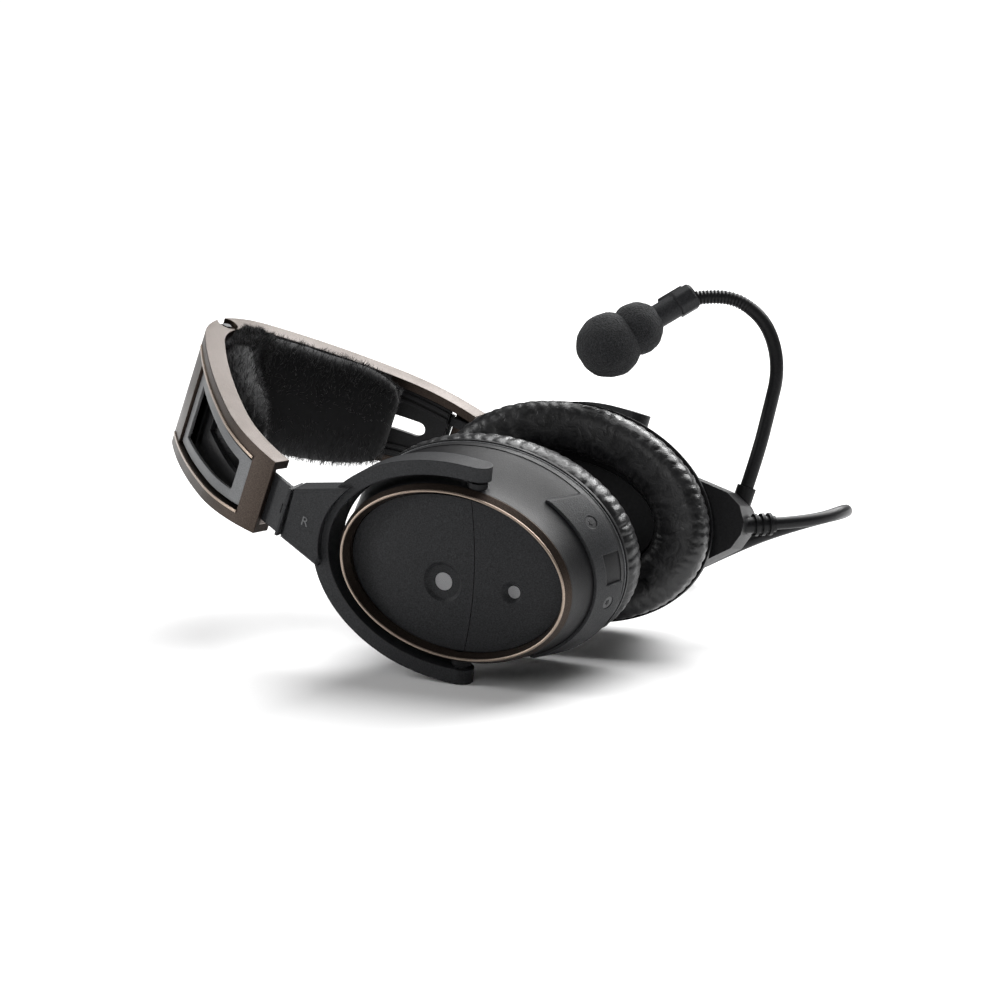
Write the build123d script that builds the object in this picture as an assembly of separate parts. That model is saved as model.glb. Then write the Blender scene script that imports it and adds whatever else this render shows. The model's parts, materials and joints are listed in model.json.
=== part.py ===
from build123d import *
from math import cos, pi, radians, sin, tan
import os

# Aviation headset lying on its rear side: two noise-reducing ear cups on C-shaped yokes,
# a two-piece cast headband with a sprung hinge at the crown, and a boom microphone with the
# cable module on the left cup. Millimetres, +Z up, X from crown to cup bottoms, Y from the
# right cup to the left cup.
#
# Three frames are used. In the band frame x points to the right ear, y to the wearer's front
# and z to the crown, with its origin on the crown's outer surface. A yoke frame and a cup frame
# have x along the ear-to-ear axis, y to the front and z up the cup, with their origin at the
# centre of the cup's outer face. Every left-hand piece is the mirrored right-hand one.

# ---- pose of the band in the row frame
BAND_ORIGIN = (-102.24, 17.33, 82.214)
BAND_TURN = (-28.46, -67.55, -118.09)

# ---- headband: (outer radius, heading at start, heading at end) of each arc, degrees below level
BAND_ARCS = ((30.0, 3.0, 42.0), (220.0, 42.0, 56.0), (64.0, 56.0, 86.0))
CROWN_HEADING = BAND_ARCS[0][1]
END_HEADING = BAND_ARCS[-1][2]
BAND_DEPTH = 7.5
SKIN = 2.0
CROWN_HALF_WIDTH = 22.3
END_HALF_WIDTH = 13.5
BAND_HEIGHT = 79.5
FLANGE_WALL = 3.0
RAIL_WIDTH = 4.8
WINDOW_HEADINGS = (45.0, 77.0)
SLOT_HEADINGS = (47.0, 69.5)
SLOT_MARGIN = 9.8
INLAY_GAP = 1.4
COVER_SLOT = (49.0, 66.5, 2.7)
COVER_SPAN = (5.8, 7.5)
INLAY_SPAN = (0.9, 1.9)
HINGE_Z = -3.4
HINGE_R = 3.3
HINGE_WEDGE = 2.4
HINGE_PIN_R = 1.5
KNUCKLE_SPLIT = 7.4
SPRING_LENGTH = 4.4
SCREW_R = 1.5
SHANK_R = 0.8
PAD_END = 56.5

# ---- sliders
BLADE_HALF_WIDTH = 8.6
LEG_WIDTH = 3.4
BLADE_THICK = 1.6
BLADE_LENGTH = 28.0
BLADE_DEPTH = 3.1
SLIDE_HEADING = 74.3
LEG_START = 2.0
SEAM_DEPTH = 3.2
FOOT = (9.2, 17.6, 1.1)
SEAM_GAP = 0.25
LINK_BEND = 8.0
PIN_R = 2.5
RUNNING = 0.05

# ---- yokes, measured from the cup's centre
YOKE_DROP = (2.2, 5.9, -62.6)
YOKE_TURN = 12.0
BLOCK_CHAMFER = 1.0
YOKE_OUT = (38.4, 53.0)
YOKE_IN = (33.4, 46.9)
YOKE_X = (-12.0, -1.0)
BLOCK_X = (-7.5, 1.8)
TIP_R = 4.4
PIVOT_X = -6.5
PIVOT_Z = -4.0
PIVOT_R = 2.0
PIVOT_END = 37.0
PIVOT_BOSS_R = 3.4

# ---- rest values of the joints, per side: extension, swivel and tilt
REST = {"r": (10.0, -3.8, 3.5), "l": (2.2, 13.3, 17.9)}

# ---- ear cup: (x, half width, half height) of the wall's oval sections
WALL = ((-3.0, 30.6, 42.3), (-13.0, 32.5, 44.3), (-21.0, 34.6, 46.8), (-29.0, 36.4, 49.0))
WALL_THICK = 2.0
TRIM_IN = (26.9, 38.6)
TRIM_CREST = (28.7, 40.4)
TRIM_SKIRT = (28.8, 40.5)
TRIM_DEPTH = -7.0
FACE_R = 175.0
FACE_TOP = -1.0
FACE_THICK = 2.4
SEAM = ((30.0, -2.6), (4.0, -7.6), (-30.0, -5.2))
PORTS = ((-3.4, 3.4, 7.4, 3.1), (-1.8, -21.5, 4.0, 2.2))
FLANGE_X = -33.0
RING_X = -34.2
CUSHION = (
    (-34.2, 34.6, 48.4),
    (-38.0, 36.4, 50.2),
    (-42.5, 36.8, 50.6),
    (-46.4, 34.2, 48.0),
    (-48.4, 30.0, 43.8),
)
OPENING = ((-34.2, 17.6, 29.6), (-48.4, 21.0, 33.4))
DRIVER_R = 17.0

# ---- cable module and microphone on the left cup, (y, z) in the cup frame
MODULE = (
    (-6.6, -44.0),
    (3.8, -55.4),
    (9.2, -57.4),
    (13.6, -57.2),
    (18.8, -54.0),
    (21.8, -48.4),
    (23.2, -34.0),
)
MODULE_X = (-28.5, -13.0)
HUB = (13.0, -48.5)
HUB_R = 7.0
HUB_PIN_R = 3.0
HUB_NECK_R = 3.4
MODULE_SCREWS = ((-0.5, -48.0), (19.8, -38.5))
HUB_X = (-12.8, -5.4)
BOOM_R = 2.5
BOOM = (
    (-9.0, 25.0, -49.8),
    (-9.0, 38.0, -50.19),
    (-8.6, 52.0, -49.4),
    (-9.0, 67.6, -48.6),
    (-11.0, 80.6, -41.5),
    (-14.0, 86.4, -31.0),
    (-18.0, 85.8, -21.5),
    (-22.5, 81.4, -13.0),
)
MIC_TIP = (-35.0, 60.0, 4.0)
BALL_R = 11.4
NECK_BALL_R = 9.3

# ---- strain relief in the left cup's frame, then the cord and its plug in the row frame
RELIEF_START = (-20.5, 12.0, -55.0)
RELIEF_WAY = (0.53, 0.318, -0.786)
RELIEF_LENGTH = 12.0
RELIEF_R = 2.9
CORD_R = 2.2
FIRST_RUN = 14.5
CORD_ROUTE = (
    (125.6, 65.1, 42.4),
    (119.1, 83.0, 37.0),
    (103.0, 93.1, 30.4),
    (85.0, 94.3, 23.3),
    (69.3, 96.0, 15.1),
    (56.3, 101.5, 7.6),
    (46.2, 115.5, 2.2),
)
COIL_CENTRE = (19.3, 108.0)
COIL_RADII = (27.0, 22.4, 17.8)
COIL_LAYERS = 3
COIL_PITCH = 4.6
COIL_ENTRY = 37.0
STUB_LENGTH = 12.0
PLUG_Z = 6.4
PLUG_R = 5.5
PLUG_BODY_R = 6.2


# ======================================================== small helpers
def box(x0, x1, y0, y1, z0, z1):
    return Pos((x0 + x1) / 2, (y0 + y1) / 2, (z0 + z1) / 2) * Box(x1 - x0, y1 - y0, z1 - z0)


def rod(start, end, radius):
    a, b = Vector(*start), Vector(*end)
    plane = Plane(origin=a, z_dir=(b - a).normalized())
    return extrude(plane * Circle(radius), amount=(b - a).length)


def oval(x, half_y, half_z):
    return Plane(origin=(x, 0, 0), x_dir=(0, 1, 0), z_dir=(1, 0, 0)) * Ellipse(half_y, half_z)


def oval_prism(x0, x1, half_y, half_z):
    return extrude(oval(x0, half_y, half_z), amount=x1 - x0)


def oval_loft(sections, grow=0.0):
    return loft([oval(x, a + grow, b + grow) for x, a, b in sections])


def side_plate(points, x0, x1):
    plane = Plane(origin=(x0, 0, 0), x_dir=(0, 1, 0), z_dir=(1, 0, 0))
    return extrude(plane * make_face(Polyline(*points, close=True)), amount=x1 - x0)


# ======================================================== headband
def band_point(depth, heading):
    """A point at a depth below the outer surface, where the arch has that heading."""
    x = z = 0.0
    for radius, first, last in BAND_ARCS:
        stop = min(max(heading, first), last)
        x += radius * (sin(radians(stop)) - sin(radians(first)))
        z -= radius * (cos(radians(first)) - cos(radians(stop)))
    return Vector(x - depth * sin(radians(heading)), 0, z - depth * cos(radians(heading)))


def band_edges(depth, start, end):
    edges = []
    for _, first, last in BAND_ARCS:
        a, b = max(first, start), min(last, end)
        if b - a > 0.01:
            edges.append(ThreePointArc(*(band_point(depth, h) for h in (a, (a + b) / 2, b))))
    return edges


def arch(depth0, depth1, start, end, margin=0.0):
    """The part of the right half arch between two depths and two headings, less a side margin."""
    outer = band_edges(depth0, start, end)
    inner = band_edges(depth1, start, end)
    caps = [Line(outer[0] @ 0, inner[0] @ 0), Line(outer[-1] @ 1, inner[-1] @ 1)]
    slab = extrude(make_face([*outer, *inner, *caps]), amount=30, dir=(0, 1, 0), both=True)
    top, low = 5.0, -BAND_HEIGHT - 12.0
    slope = (CROWN_HALF_WIDTH - END_HALF_WIDTH) / BAND_HEIGHT
    half = [CROWN_HALF_WIDTH + slope * z - margin for z in (top, low)]
    outline = Polyline((-half[0], top), (half[0], top), (half[1], low), (-half[1], low), close=True)
    plane = Plane(origin=(-5, 0, 0), x_dir=(0, 1, 0), z_dir=(1, 0, 0))
    return slab & extrude(plane * make_face(outline), amount=110)


def slot_cut():
    """The see-through slot in the inlay, with its lower corners rounded."""
    last = SLOT_HEADINGS[1]
    end = band_point(0, last)
    body = arch(-2, 5, SLOT_HEADINGS[0], last, SLOT_MARGIN)
    half = CROWN_HALF_WIDTH - SLOT_MARGIN + (CROWN_HALF_WIDTH - END_HALF_WIDTH) / BAND_HEIGHT * end.Z
    plane = Plane(origin=end, x_dir=(0, 1, 0), z_dir=(sin(radians(last)), 0, cos(radians(last))))
    return body + extrude(plane * RectangleRounded(2 * half, 3.0, 1.4), amount=5, both=True)


def cover_slot_cut():
    """The narrower slot in the inner cover: a straight-sided cut with a round lower end."""
    first, last, half = COVER_SLOT
    slab = arch(4, 9, first, last, -1) & box(-5, 100, -half, half, -100, 10)
    end = band_point(6.6, last)
    way = Vector(sin(radians(last)), 0, cos(radians(last)))
    return slab + rod(end - way * 4, end + way * 4, half)


def knuckles(keep_mid):
    """Hinge barrels on the crown axis: the middle one, or the two outer ones."""
    reach = CROWN_HALF_WIDTH - 2.0
    spans = [(-KNUCKLE_SPLIT + 0.2, KNUCKLE_SPLIT - 0.2)]
    if not keep_mid:
        start = KNUCKLE_SPLIT + SPRING_LENGTH + 0.3
        spans = [(-reach, -start), (start, reach)]
    barrels = [rod((0, a, HINGE_Z), (0, b, HINGE_Z), HINGE_R) for a, b in spans]
    webs = [box(0, 4.5, a, b, HINGE_Z - HINGE_R, HINGE_Z + 1.2) for a, b in spans]
    return barrels, webs, spans


def band_half(keep_mid):
    body = arch(0, BAND_DEPTH, CROWN_HEADING, END_HEADING)
    body -= arch(SKIN, BAND_DEPTH + 1, 17.0, END_HEADING, FLANGE_WALL)
    body -= arch(-1, SKIN + 0.5, *WINDOW_HEADINGS, RAIL_WIDTH)
    body -= box(-5, 0.5, -30, 30, -12, 5)
    body -= rod((0, -30, HINGE_Z), (0, 30, HINGE_Z), HINGE_R + 0.5)
    wedge = Polyline((0, 0, HINGE_Z), (0, 0, 5), (HINGE_WEDGE, 0, 5), close=True)
    body -= extrude(make_face(wedge), amount=30, dir=(0, 1, 0), both=True)
    barrels, webs, _ = knuckles(keep_mid)
    for barrel, web in zip(barrels, webs):
        body += (web & arch(0.8, BAND_DEPTH, CROWN_HEADING, 20.0)) + barrel
    body -= rod((0, -30, HINGE_Z), (0, 30, HINGE_Z), HINGE_PIN_R + RUNNING)
    for hole in screw_places():
        body -= hole(SKIN - 1.0, BAND_DEPTH + 1, SHANK_R + 0.03)
    return body


def screw_places():
    """Functions that make a round bar of a given depth span and radius at each cover screw."""
    def bar(heading, side):
        def make(depth0, depth1, radius):
            a, b = band_point(depth0, heading), band_point(depth1, heading)
            height = band_point(COVER_SPAN[0], heading).Z
            y = side * (CROWN_HALF_WIDTH + (CROWN_HALF_WIDTH - END_HALF_WIDTH) / BAND_HEIGHT * height - 6.2)
            return rod((a.X, y, a.Z), (b.X, y, b.Z), radius)
        return make
    return [bar(heading, side) for heading in (24.0, 42.8) for side in (-1, 1)]


def inlay():
    body = arch(*INLAY_SPAN, WINDOW_HEADINGS[0] + 0.4, WINDOW_HEADINGS[1] - 0.4, RAIL_WIDTH + INLAY_GAP)
    return body - slot_cut()


def inner_cover():
    body = arch(*COVER_SPAN, 17.4, WINDOW_HEADINGS[1] - 0.5, FLANGE_WALL + 0.15)
    for hole in screw_places():
        body -= hole(COVER_SPAN[0] - 1, COVER_SPAN[1] + 1, SCREW_R + 0.1)
    return body - cover_slot_cut()


def cover_screws():
    """Countersunk screws through the inner cover into the casting's skin."""
    screws = []
    for make in screw_places():
        screws.append(make(COVER_SPAN[0], COVER_SPAN[1], SCREW_R) + make(SKIN - 0.9, COVER_SPAN[0], SHANK_R))
    return screws


def headband_pad():
    """Plush pad under the crown, with its two ends tucked in."""
    half = arch(BAND_DEPTH + 0.5, BAND_DEPTH + 14.0, 12.0, PAD_END, -1.0)
    half &= box(0, 60, -30, 30, -60, 0)
    crown = box(-3, 3, -CROWN_HALF_WIDTH, CROWN_HALF_WIDTH, -21.0, -BAND_DEPTH - 0.6)
    return half + mirror(half, about=Plane.YZ) + crown


def crown_springs():
    """Two torsion springs round the crown pin, as the closed sleeves that their coils fill."""
    sleeves = []
    for start in (-KNUCKLE_SPLIT - SPRING_LENGTH, KNUCKLE_SPLIT):
        ends = (0, start, HINGE_Z), (0, start + SPRING_LENGTH, HINGE_Z)
        sleeves.append(rod(*ends, HINGE_R - 0.4) - rod(*ends, HINGE_PIN_R + 0.15))
    return sleeves


# ======================================================== slider, in the band frame (right side)
def link_frame(side):
    """Frame of the swivel at rest: origin on the seam, z up the yoke's block."""
    ext, swivel, _ = REST[side]
    base = band_point(SEAM_DEPTH, END_HEADING)
    along = Vector(cos(radians(END_HEADING)), 0, -sin(radians(END_HEADING)))
    point = base + along * ext
    turn = swivel if side == "r" else -swivel
    return Pos(*point) * Rot(0, LINK_BEND, 0), Rot(0, 0, turn)


def slide_frame():
    return Pos(*band_point(BLADE_DEPTH, END_HEADING)) * Rot(0, SLIDE_HEADING - 90, 0)


def slider(side):
    """Fork-shaped blade in the band's channel, on the foot that the swivel pin passes through."""
    ext = REST[side][0]
    seam, _ = link_frame(side)
    half = BLADE_THICK / 2
    blade = box(-half, half, -BLADE_HALF_WIDTH, BLADE_HALF_WIDTH, -ext - 3, BLADE_LENGTH - ext)
    slot = BLADE_HALF_WIDTH - LEG_WIDTH
    blade -= box(-half - 1, half + 1, -slot, slot, LEG_START, BLADE_LENGTH)
    blade = slide_frame() * blade & seam * box(-30, 30, -30, 30, SEAM_GAP, 80)
    foot = seam * box(-FOOT[0] / 2, FOOT[0] / 2, -FOOT[1] / 2, FOOT[1] / 2, SEAM_GAP, SEAM_GAP + FOOT[2])
    return blade + foot - seam * rod((0, 0, -1), (0, 0, 3), PIN_R)


def swivel_pin(side):
    seam, _ = link_frame(side)
    shank = rod((0, 0, -9.0), (0, 0, SEAM_GAP + FOOT[2]), PIN_R)
    return seam * (shank + rod((0, 0, -9.6), (0, 0, -9.0), PIN_R - 0.5))


# ======================================================== yoke, in the yoke frame
def yoke_ring():
    ring = oval_prism(*YOKE_X, *YOKE_OUT) - oval_prism(YOKE_X[0] - 1, YOKE_X[1] + 1, *YOKE_IN)
    low, high = YOKE_X
    taper = Polyline(
        (PIVOT_X - TIP_R, 0, PIVOT_Z),
        (low, 0, 20.0),
        (low, 0, 70.0),
        (high, 0, 70.0),
        (high, 0, 20.0),
        (PIVOT_X + TIP_R, 0, PIVOT_Z),
        close=True,
    )
    ring &= extrude(make_face(taper), amount=60, dir=(0, 1, 0), both=True)
    for sign in (-1, 1):
        ring += rod(*pivot_line(sign, YOKE_IN[0], YOKE_OUT[0]), TIP_R)
    return ring


def yoke(side):
    seam_y, seam_z = -YOKE_DROP[1], -YOKE_DROP[2]
    outline = ((seam_y - 9.2, seam_z), (seam_y + 9.2, seam_z), (13.6, 41.5), (-19.0, 46.5))
    block = side_plate(outline, *BLOCK_X)
    block = chamfer(block.faces().sort_by(Axis.X)[-1].edges(), BLOCK_CHAMFER)
    block -= Rot(YOKE_TURN, 0, 0) * oval_prism(-30, 10, YOKE_IN[0] + 2.4, YOKE_IN[1] + 2.4)
    body = Rot(YOKE_TURN, 0, 0) * yoke_ring() + block
    seat = Pos(-YOKE_DROP[0], seam_y, seam_z)
    body -= seat * rod((0, 0, -10.5), (0, 0, 1), PIN_R + RUNNING)
    for sign in (-1, 1):
        body -= Rot(YOKE_TURN, 0, 0) * rod(*pivot_line(sign, 30.0, PIVOT_END), PIVOT_R)
    return body


def pivot_line(sign, y0, y1):
    return (PIVOT_X, sign * y0, PIVOT_Z), (PIVOT_X, sign * y1, PIVOT_Z)


def pivot_pins():
    pins = []
    for sign in (-1, 1):
        pin = rod(*pivot_line(sign, 29.0, PIVOT_END), PIVOT_R)
        pins.append(Rot(YOKE_TURN, 0, 0) * pin)
    return pins


# ======================================================== ear cup, in the cup frame
def cup_shell():
    inner = [(x, a - WALL_THICK, b - WALL_THICK) for x, a, b in WALL]
    body = oval_loft(WALL)
    cavity = oval_loft(inner)
    ledge = oval_prism(WALL[0][0] - 1.4, WALL[0][0] + 1, *TRIM_SKIRT)
    body = body - (cavity & box(-40, WALL[0][0] - 1.4, -60, 60, -60, 60)) - ledge
    for sign in (-1, 1):
        body += rod(*pivot_line(sign, 27.2, 32.4), PIVOT_BOSS_R)
        body -= rod(*pivot_line(sign, 28.6, 40.0), PIVOT_R + RUNNING)
    return body


def trim_ring():
    """Crested oval ring: a cone outside, a cone inside and a skirt down to the face covers."""
    start = WALL[0][0]
    body = loft([oval(start, *WALL[0][1:]), oval(0, *TRIM_CREST)], ruled=True)
    body += oval_prism(TRIM_DEPTH, start, *TRIM_SKIRT)
    body -= loft([oval(start - 0.5, *TRIM_IN), oval(0.5, *(v - 0.1 for v in TRIM_CREST))], ruled=True)
    body -= oval_prism(TRIM_DEPTH - 1, start, *TRIM_IN)
    for sign in (-1, 1):
        body -= rod(*pivot_line(sign, 20.0, 40.0), PIVOT_BOSS_R + 0.2) & oval_prism(-12, start, 60, 60)
    return body


def face_dome():
    centre = Pos(FACE_TOP - FACE_R, 0, 0)
    prism = oval_prism(-12, 4, TRIM_IN[0] - 0.15, TRIM_IN[1] - 0.15)
    dome = prism & (centre * Sphere(FACE_R)) & box(-12, 4, -60, 60, -60, 60)
    return dome - Pos(FACE_TOP - FACE_R - FACE_THICK, 0, 0) * Sphere(FACE_R)


def seam_side(upper, gap):
    """Everything on one side of the curved seam between the two face covers."""
    shift = gap if upper else -gap
    arc = ThreePointArc(*((y, z + shift) for y, z in SEAM))
    edge = 60 if upper else -60
    (y0, z0), (y1, z1) = SEAM[2], SEAM[0]
    rim = Polyline((y0, z0 + shift), (y0, edge), (y1, edge), (y1, z1 + shift))
    plane = Plane(origin=(-15, 0, 0), x_dir=(0, 1, 0), z_dir=(1, 0, 0))
    return extrude(plane * make_face([arc, *rim.edges()]), amount=25)


def face_cover(upper):
    y, z, recess, hole = PORTS[0 if upper else 1]
    body = face_dome() & seam_side(upper, 0.12)
    sag = (y * y + z * z) / (2 * FACE_R)
    top = FACE_TOP - sag
    dish = Cone(recess - 1.6, recess + 0.2, 1.8, align=(Align.CENTER, Align.CENTER, Align.MIN))
    body -= Pos(top - 1.3, y, z) * Rot(0, 90, 0) * dish
    return body - rod((top - 6, y, z), (top + 2, y, z), hole)


def port_meshes():
    discs = []
    for y, z, _, hole in PORTS:
        top = FACE_TOP - (y * y + z * z) / (2 * FACE_R) - 1.3
        discs.append(rod((top - 0.9, y, z), (top - 0.1, y, z), hole - 0.02))
    return discs


def baffle():
    body = oval_prism(FLANGE_X, WALL[-1][0], *(v + 0.2 for v in WALL[-1][1:]))
    body -= rod((FLANGE_X - 1, 0, 0), (FLANGE_X + 8, 0, 0), DRIVER_R - 2)
    return body - rod((FLANGE_X + 1.6, 0, 0), (FLANGE_X + 8, 0, 0), DRIVER_R + 0.1)


def driver():
    body = rod((FLANGE_X + 1.6, 0, 0), (FLANGE_X + 6.0, 0, 0), DRIVER_R)
    return body + rod((FLANGE_X + 6.0, 0, 0), (FLANGE_X + 12.0, 0, 0), 11.0)


def circuit_board():
    board = box(-15.6, -14.0, -16, 16, -26, 26)
    chips = box(-14.0, -12.6, -9, 3, -8, 4) + box(-14.0, -11.8, 5, 12, 8, 20)
    return board + chips + box(-14.0, -12.8, -12, -4, -22, -14)


def cushion_ring():
    return oval_prism(RING_X, FLANGE_X, 37.2, 49.9) - oval_prism(RING_X - 1, FLANGE_X + 1, 17.6, 29.6)


def ear_cushion():
    return oval_loft(CUSHION) - oval_loft(OPENING)


def ear_scrim():
    return oval_prism(RING_X - 0.7, RING_X + 0.3, 17.3, 29.3)


def wall_skin(extra0, extra1, keep):
    """A piece of sheet that follows the outside of the cup's wall."""
    sheet = oval_loft(WALL, extra1) - oval_loft(WALL, extra0)
    return sheet & keep


def cover_plate():
    keep = box(-28.6, -15.0, -28.0, 28.0, -60, -25.0)
    notch = box(-28.7, -20.0, 1.0, 11.5, -60, -20)
    plate = wall_skin(0.05, 1.1, keep - notch)
    for y, z in COVER_SCREWS:
        plate -= screw_bar(y, z, 4.0, -4.0, 2.25)
    return plate


COVER_SCREWS = ((19.5, -37.0), (-5.0, -45.6))
SCREW_X = -22.5


def screw_bar(y, z, outside, inside, radius):
    """A round bar across the cup's wall, along the wall's own direction outwards."""
    slope = Vector(0.28, y * 1.6, z).normalized()
    at = Vector(SCREW_X, y, z)
    a, b = at + slope * inside, at + slope * outside
    return rod((a.X, a.Y, a.Z), (b.X, b.Y, b.Z), radius)


def cover_screws_cup():
    skin = oval_loft(WALL, 0.9) - oval_loft(WALL, 0.06)
    return [screw_bar(y, z, 4.0, -4.0, 2.2) & skin for y, z in COVER_SCREWS]


# ======================================================== cable module and microphone (left cup)
def module_housing():
    body = side_plate(MODULE, *MODULE_X) - oval_loft(WALL, 0.1)
    body -= rod((HUB_X[0] - 6, *HUB), (HUB_X[0] + 4, *HUB), HUB_PIN_R + RUNNING)
    for screw in module_screws():
        body -= screw
    return body - strain_relief()


def module_screws():
    depth, head = MODULE_X[1] - 3, MODULE_X[1] + 0.4
    return [rod((depth, y, z), (head, y, z), SCREW_R) for y, z in MODULE_SCREWS]


def strain_relief():
    """Tapered boot with three raised rings, set into the housing's rounded end."""
    start, way = Vector(*RELIEF_START), Vector(*RELIEF_WAY).normalized()
    body = rod(start, start + way * RELIEF_LENGTH, RELIEF_R)
    for at in (4.8, 7.4, 10.0):
        body += rod(start + way * (at - 0.55), start + way * (at + 0.55), RELIEF_R + 1.0)
    return body


def boom_hub():
    body = rod((HUB_X[0] + 0.1, *HUB), (HUB_X[1], *HUB), HUB_R)
    body += rod((HUB_X[0] - 5.5, *HUB), (HUB_X[0] + 1, *HUB), HUB_PIN_R)
    return body + rod((-9.0, 15.0, -49.5), BOOM[0], HUB_NECK_R)


def smooth_path(points):
    """Straight runs joined by tangent arcs, each as large as its two runs allow."""
    radii = []
    for a, b, c in zip(points, points[1:], points[2:]):
        u, v = Vector(*b) - Vector(*a), Vector(*c) - Vector(*b)
        turn = radians(u.get_angle(v))
        radii.append(0.45 * min(u.length, v.length) / tan(turn / 2))
    return FilletPolyline(*points, radius=radii), radii


def tube(points, radius):
    path, radii = smooth_path(points)
    start = Plane(origin=path @ 0, z_dir=path % 0)
    body = sweep(start * Circle(radius), path=path)
    ratio = body.volume / (pi * radius * radius * path.length)
    print("tube radius", radius, "length", round(path.length, 1), "volume ratio", round(ratio, 4))
    print("arc radii", [round(r, 1) for r in radii])
    return body


def boom_tube():
    return tube(BOOM, BOOM_R)


def mic_line(distance):
    """A point along the microphone's axis, from the gooseneck's end towards the mouth."""
    start, end = Vector(*BOOM[-1]), Vector(*MIC_TIP)
    p = start + (end - start).normalized() * distance
    return (p.X, p.Y, p.Z)


def mic_holder():
    body = rod(mic_line(-3.0), mic_line(13.6), 4.2)
    return body - boom_tube() - rod(mic_line(6.0), mic_line(15.0), 3.0)


def mic_capsule():
    return rod(mic_line(6.0), mic_line(31.6), 2.95) + rod(mic_line(18.1), mic_line(31.6), 4.4)


def windscreen():
    neck = Pos(*mic_line(20.6)) * Sphere(NECK_BALL_R)
    ball = Pos(*mic_line(32.1)) * Sphere(BALL_R)
    return neck + ball - mic_capsule() - rod(mic_line(8.0), mic_line(13.8), 4.4)


# ======================================================== cord and plug, in the row frame
def left_cup_point(point, moves=True):
    """A point, or a direction, of the left cup's frame in the row frame."""
    ends = [cup_frame("l") * Pos(*p) for p in (point, (0, 0, 0))]
    ends = [band_frame() * Pos(-e.position.X, e.position.Y, e.position.Z) for e in ends]
    return ends[0].position if moves else ends[0].position - ends[1].position


def cord_points():
    way = Vector(*RELIEF_WAY).normalized()
    start = left_cup_point(Vector(*RELIEF_START) + way * RELIEF_LENGTH)
    first = start + left_cup_point(way, moves=False).normalized() * FIRST_RUN
    return [tuple(start), tuple(first), *CORD_ROUTE]


def coil_point(angle, radius, z):
    x, y = COIL_CENTRE
    return Vector(x + radius * cos(radians(angle)), y + radius * sin(radians(angle)), z)


def coil_stub(angle, z, sign):
    """Short straight length of the cord that leaves the coil along its outer turn."""
    start = coil_point(angle, COIL_RADII[0], z)
    way = Vector(-sin(radians(angle)), cos(radians(angle)), 0) * sign
    return start, start + way * STUB_LENGTH


def cord_coil():
    outer, inner = COIL_RADII[0] + CORD_R, COIL_RADII[-1] - CORD_R
    height = COIL_PITCH * (COIL_LAYERS - 1) + 2 * CORD_R
    ring = extrude(Circle(outer) - Circle(inner), amount=height)
    body = Pos(*COIL_CENTRE, 0) * ring
    body += rod(coil_point(COIL_ENTRY, COIL_RADII[0], CORD_R), Vector(*CORD_ROUTE[-1]), CORD_R)
    return body + rod(*coil_stub(90.0, PLUG_Z, 1), CORD_R)


def plug():
    """Six-pin round plug: boot, grip with a shoulder, and the barrel that enters a socket."""
    _, at = coil_stub(90.0, PLUG_Z, 1)
    parts = ((0.0, 10.0, 3.4), (10.0, 30.0, PLUG_BODY_R), (30.0, 42.0, PLUG_R))
    body = [rod(at - Vector(a, 0, 0), at - Vector(b, 0, 0), r) for a, b, r in parts]
    face = at - Vector(42.0, 0, 0)
    body = body[0] + body[1] + body[2] - rod(face, face + Vector(9.0, 0, 0), PLUG_R - 1.0)
    for index in range(6):
        angle = radians(60 * index)
        pin = face + Vector(0, 2.6 * cos(angle), 2.6 * sin(angle))
        body += rod(pin + Vector(1.5, 0, 0), pin + Vector(9.5, 0, 0), 0.5)
    return body


# ======================================================== placing
def band_frame():
    return Pos(*BAND_ORIGIN) * Rot(*BAND_TURN)


def yoke_frame(side):
    seam, swivel = link_frame(side)
    return seam * swivel * Pos(*YOKE_DROP)


def cup_frame(side):
    tilt = REST[side][2] if side == "r" else -REST[side][2]
    pivot = Pos(PIVOT_X, 0, PIVOT_Z)
    return yoke_frame(side) * Rot(YOKE_TURN, 0, 0) * pivot * Rot(0, tilt, 0) * Pos(-PIVOT_X, 0, -PIVOT_Z)


def place(shapes, side, frame=None):
    """Shapes of the right-hand frame, put in the row frame; the left side is mirrored in x."""
    placed = []
    for shape in shapes if isinstance(shapes, list) else [shapes]:
        shape = frame * shape if frame else shape
        if side == "l":
            shape = mirror(shape, about=Plane.YZ)
        placed.append(band_frame() * shape)
    return placed


def write(name, shapes):
    solids = [s for shape in shapes for s in shape.solids()]
    export_step(Compound(children=solids) if len(solids) > 1 else solids[0], f"parts/{name}.step")


def main():
    os.makedirs("parts", exist_ok=True)
    for side in ("r", "l"):
        write(f"band_half_{side}", place(band_half(side == "l"), side))
        write(f"band_inlay_{side}", place(inlay(), side))
        write(f"band_inner_cover_{side}", place(inner_cover(), side))
        write(f"band_screws_{side}", place(cover_screws(), side))
        write(f"slider_{side}", place(slider(side), side))
        write(f"swivel_pin_{side}", place(swivel_pin(side), side))
        write(f"yoke_{side}", place(yoke(side), side, yoke_frame(side)))
        write(f"pivot_pins_{side}", place(pivot_pins(), side, yoke_frame(side)))
        cup = cup_frame(side)
        for name, make in CUP_PIECES:
            write(f"{name}_{side}", place(make(), side, cup))
    write("headband_pad", place(headband_pad(), "r"))
    reach = CROWN_HALF_WIDTH - 1.0
    write("crown_pin", place(rod((0, -reach, HINGE_Z), (0, reach, HINGE_Z), HINGE_PIN_R), "r"))
    write("crown_springs", place(crown_springs(), "r"))
    write("cover_plate", place(cover_plate(), "r", cup_frame("r")))
    write("cover_plate_screws", place(cover_screws_cup(), "r", cup_frame("r")))
    left = cup_frame("l")
    for name, make in LEFT_PIECES:
        write(name, place(make(), "l", left))
    write("cord_lead", [tube(cord_points(), CORD_R)])
    write("cord_coil", [cord_coil()])
    write("plug", [plug()])


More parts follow.
